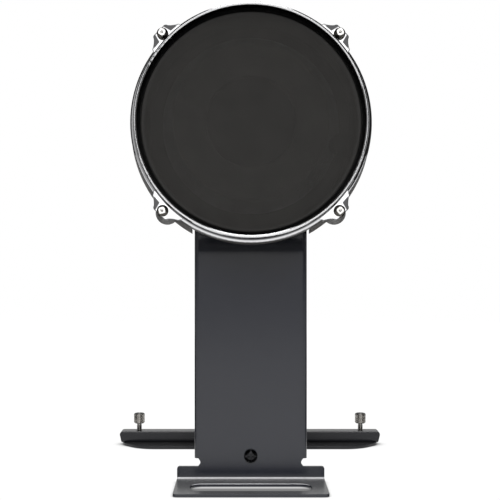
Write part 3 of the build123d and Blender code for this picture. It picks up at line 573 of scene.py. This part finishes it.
clo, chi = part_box("foam_cone")
r_c = chi.x - AXIS_X
cone_pts = [(r_c, clo.y), (r_c, clo.y + 0.0162), (0.015, chi.y)]
outline_c = [(0.0, clo.y)] + [(r_c * k / 14, clo.y) for k in range(1, 14)]
outline_c += [(r_c - 0.0016 + 0.0016 * math.sin(math.radians(a)), clo.y + 0.0016 - 0.0016 * math.cos(math.radians(a))) for a in (15, 35, 55, 75, 90)]
outline_c += [(r_c, clo.y + 0.0016 + (0.0162 - 0.0016) * k / 6) for k in range(1, 7)]
outline_c += [(r_c + (0.015 - r_c) * k / 10, clo.y + 0.0162 + (chi.y - clo.y - 0.0162) * k / 10) for k in range(1, 11)]
outline_c += [(0.015 * (1 - k / 5), chi.y) for k in range(1, 6)]
soft_block("foam_cone_block", outline_c, MAT["black_foam"], "foam_cone")

tlo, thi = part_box("piezo_tape")
r_t = thi.x - AXIS_X
tape = [(0.0, tlo.y)] + [(r_t * k / 6, tlo.y) for k in range(1, 6)]
tape += [(r_t - 0.0005, tlo.y), (r_t - 0.0001, tlo.y + 0.0003), (r_t, (tlo.y + thi.y) / 2), (r_t - 0.0001, thi.y - 0.0003), (r_t - 0.0005, thi.y)]
tape += [(r_t * k / 6, thi.y) for k in range(5, 0, -1)] + [(0.0, thi.y)]
soft_block("piezo_tape_pad", tape, MAT["black_foam"], "piezo_tape", 96, 0.00003)

# -------------------------------------------------------------------- stage
bm = bmesh.new()
bmesh.ops.create_grid(bm, x_segments=2, y_segments=2, size=2.2)
fm = bpy.data.meshes.new("floor")
bm.to_mesh(fm)
bm.free()
floor = bpy.data.objects.new("floor", fm)
scene.collection.objects.link(floor)
floor.location = (0, 0, 0)
m, t, p, co, out = shader("floor", Base_Color=(0.6, 0.6, 0.6), Roughness=0.6)
p.inputs["Specular IOR Level"].default_value = 0.2
cloud = t.noise(co, 3.0, 2.0, 0.5)
t.link(t.mix(cloud, (0.73, 0.73, 0.73), (0.77, 0.77, 0.77)), p.inputs["Base Color"])
# seen directly it is a white sweep that only darkens in contact shadows
near = t.node("ShaderNodeAmbientOcclusion")
near.samples = 16
near.inputs["Distance"].default_value = 0.030
sweep = t.node("ShaderNodeEmission")
# the front strip's shadow on the floor inside the slot
spot = t.node("ShaderNodeSeparateXYZ")
t.link(co, spot.inputs[0])
reach = t.math("ABSOLUTE", spot.outputs["X"])
inside = t.math("MULTIPLY", t.math("MULTIPLY", t.ramp(spot.outputs["Y"], -0.1175, -0.1165), t.ramp(spot.outputs["Y"], -0.0885, -0.0895)), t.ramp(reach, 0.0640, 0.0625))
shade = t.ramp(spot.outputs["Y"], -0.0995, -0.0912, 0.22, 0.62)
lit = t.math("MULTIPLY", t.ramp(near.outputs["AO"], 0.20, 0.93, 0.06, 1.02), t.math("SUBTRACT", 1.0, t.math("MULTIPLY", inside, t.math("SUBTRACT", 1.0, shade))))
t.link(lit, sweep.inputs["Strength"])
sweep.inputs["Color"].default_value = (1, 1, 1, 1)
seen = t.node("ShaderNodeLightPath")
blend = t.node("ShaderNodeMixShader")
t.link(seen.outputs["Is Camera Ray"], blend.inputs[0])
t.link(p.outputs[0], blend.inputs[1])
t.link(sweep.outputs[0], blend.inputs[2])
t.link(blend.outputs[0], out.inputs["Surface"])
fm.materials.append(m)

# ------------------------------------------------------------------- lights
world = bpy.data.worlds.new("studio")
scene.world = world
world.use_nodes = True
world.node_tree.nodes.clear()
w = Tree(world.node_tree)
direction = w.node("ShaderNodeTexCoord").outputs["Generated"]
sep = w.node("ShaderNodeSeparateXYZ")
w.link(direction, sep.inputs[0])
dx, dy, dz = sep.outputs
side = w.math("ABSOLUTE", dx)
one_minus = lambda v: w.math("SUBTRACT", 1.0, v)
times = lambda *v: v[0] if len(v) == 1 else w.math("MULTIPLY", v[0], times(*v[1:]))
plus = lambda *v: v[0] if len(v) == 1 else w.math("ADD", v[0], plus(*v[1:]))
# the room's soft light
KEY = 6.3
SOFT_FRONT, SOFT_TOP, SOFT_SIDE, SOFT_REAR = 0.22, 0.55, 0.35, 0.9
above = w.ramp(dz, 0.45, 0.85)
around = w.ramp(dy, -0.3, 0.5, SOFT_FRONT, SOFT_REAR)
soft = plus(times(one_minus(above), w.ramp(side, 0.5, 0.95, 1.0, SOFT_SIDE), around), times(above, SOFT_TOP))
# what polished parts mirror: a tall soft source in front, one on the left and one overhead, with dark gaps between them
ahead = w.ramp(dy, -0.80, -0.66, 1.0, 0.0)
tall = times(ahead, w.ramp(side, 0.10, 0.20, 1.0, 0.0), w.ramp(dz, 0.0, 0.045), GLOSS_FRONT)
left = times(w.ramp(dx, -0.22, -0.30), w.ramp(dx, -0.66, -0.58), w.ramp(dy, 0.15, 0.0), w.ramp(w.math("ABSOLUTE", dz), 0.38, 0.28), GLOSS_LEFT)
high = times(w.ramp(dz, 0.91, 0.94), w.ramp(dy, 0.10, 0.0), w.ramp(side, 0.25, 0.35, 1.0, 0.0), GLOSS_HIGH)
back = times(w.ramp(dy, 0.60, 0.85), GLOSS_REAR)
flank = times(w.ramp(side, 0.90, 0.95), w.ramp(w.math("ABSOLUTE", dz), 0.34, 0.26), GLOSS_SIDE)
mirror = plus(tall, left, high, back, flank, GLOSS_ROOM)
path = w.node("ShaderNodeLightPath")
level = plus(times(path.outputs["Is Glossy Ray"], mirror), times(one_minus(path.outputs["Is Glossy Ray"]), soft))
bg_light = w.node("ShaderNodeBackground")
w.link(level, bg_light.inputs["Strength"])
bg_light.inputs["Color"].default_value = (1, 1, 1, 1)
bg_seen = w.node("ShaderNodeBackground")
bg_seen.inputs["Color"].default_value = (1, 1, 1, 1)
bg_seen.inputs["Strength"].default_value = 1.0
mixer = w.node("ShaderNodeMixShader")
w.link(path.outputs["Is Camera Ray"], mixer.inputs[0])
w.link(bg_light.outputs[0], mixer.inputs[1])
w.link(bg_seen.outputs[0], mixer.inputs[2])
w.link(mixer.outputs[0], w.node("ShaderNodeOutputWorld").inputs[0])


# the key: one large soft source in front of the pad, a little to the left and above it
data = bpy.data.lights.new("key", "SUN")
data.energy = KEY
data.angle = math.radians(34.0)
key = bpy.data.objects.new("key", data)
key.rotation_euler = Vector((0.03, math.cos(math.radians(29.0)), -math.sin(math.radians(29.0)))).to_track_quat("-Z", "Y").to_euler()
scene.collection.objects.link(key)
key.visible_glossy = False


def dark_card(name, x0, x1, y0, y1, z, tone, top=None):
    """A matt card that only reflections see, lying at z or standing from z to top."""
    me = bpy.data.meshes.new(name)
    far = z if top is None else top
    me.from_pydata([(x0, y0, z), (x1, y0, z), (x1, y1, far), (x0, y1, far)], [], [(0, 1, 2, 3)])
    o = bpy.data.objects.new(name, me)
    scene.collection.objects.link(o)
    m, t, p, co, out = shader(name, Base_Color=(tone, tone, tone), Roughness=1.0)
    p.inputs["Specular IOR Level"].default_value = 0.0
    me.materials.append(m)
    o.visible_camera = False
    o.visible_diffuse = False
    o.visible_shadow = False
    o.visible_transmission = False
    return o


dark_card("slot_card", -0.09, 0.09, -0.132, -0.066, 0.0012, CARD_TONE)
dark_card("drum_card", -0.058, 0.058, -0.110, -0.110, 0.2265, CARD_TONE, 0.2400)
dark_card("left_card", -2.2, -0.22, CARD_FAR, 1.5, 0.0012, CARD_TONE)
dark_card("right_card", 0.22, 2.2, CARD_FAR, 1.5, 0.0012, CARD_TONE)
